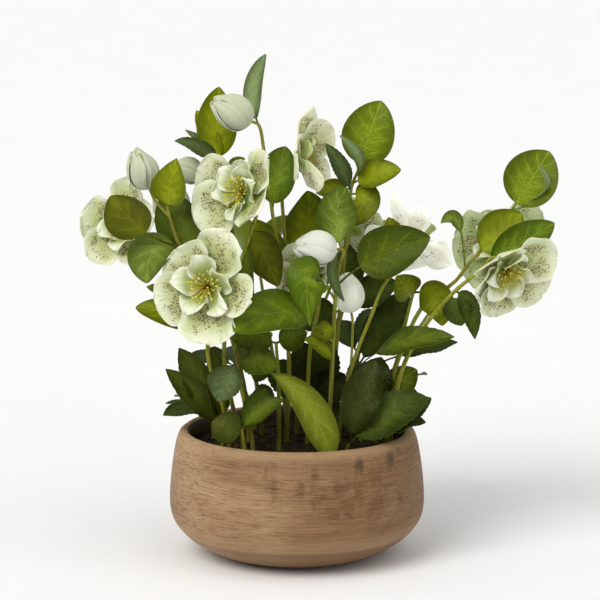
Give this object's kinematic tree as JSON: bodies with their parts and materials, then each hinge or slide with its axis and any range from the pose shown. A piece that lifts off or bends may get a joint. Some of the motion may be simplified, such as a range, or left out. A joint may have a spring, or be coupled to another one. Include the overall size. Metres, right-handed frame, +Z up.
{
  "type": "potted hellebore",
  "caption": "Flowering hellebore with cupped speckled blooms, buds and toothed basal leaves in a low round turned wooden bowl of compost",
  "frame": {"origin": "centre of the bowl's flat foot, on the surface that it stands on", "axes": "+Z up, +X to the right and -Y towards a viewer who faces the plant's front"},
  "size_m": [0.3684, 0.2238, 0.3913],
  "materials": {
    "bowl_wood": "turned, dry oiled wood with brushed grain",
    "compost": "dark crumbly bark and peat compost",
    "leaf_green": "satin leaf and stem",
    "leaf_dark": "satin leaf, darker",
    "petal": "soft matt petal, speckled",
    "stamen": "matt filament and anther",
    "bud": "soft matt closed petals"
  },
  "bodies": {
    "root": {"bloom_behind": "petal", "bloom_centre": "petal", "bloom_far_left": "petal", "bloom_front_left": "petal", "bloom_mid_right": "petal", "bloom_right": "petal", "bloom_right_behind": "petal", "bloom_top": "petal", "bloom_upper_left": "petal", "bowl": "bowl_wood", "bud_centre": "bud", "bud_far_left": "bud", "bud_left_behind": "bud", "bud_low": "bud", "bud_top": "bud", "bud_upper_left": "bud", "compost": "compost", "frond_back_left": "leaf_dark", "frond_back_right": "leaf_dark", "frond_centre_left": "leaf_dark", "frond_front_left": "leaf_dark", "frond_large_right": "leaf_dark", "frond_left": "leaf_dark", "frond_low_left": "leaf_dark", "frond_low_right": "leaf_dark", "frond_middle": "leaf_dark", "frond_over_rim": "leaf_dark", "frond_right": "leaf_dark", "frond_right_olive": "leaf_dark", "frond_tall_dark": "leaf_dark", "frond_upright": "leaf_dark", "stamens_behind": "stamen", "stamens_centre": "stamen", "stamens_far_left": "stamen", "stamens_front_left": "stamen", "stamens_mid_right": "stamen", "stamens_right": "stamen", "stamens_right_behind": "stamen", "stamens_top": "stamen", "stamens_upper_left": "stamen", "stem_back_left": "leaf_green", "stem_centre": "leaf_green", "stem_centre_bud": "leaf_green", "stem_far_left": "leaf_green", "stem_front_left": "leaf_green", "stem_mid_right": "leaf_green", "stem_olive_right": "leaf_green", "stem_rear_left": "leaf_green", "stem_rear_right": "leaf_green", "stem_right": "leaf_green", "stem_right_leaves": "leaf_green", "stem_tall_leaf": "leaf_green", "stem_top": "leaf_green", "stem_top_centre": "leaf_green", "stem_upper_left": "leaf_green"}
  },
  "joints": []
}
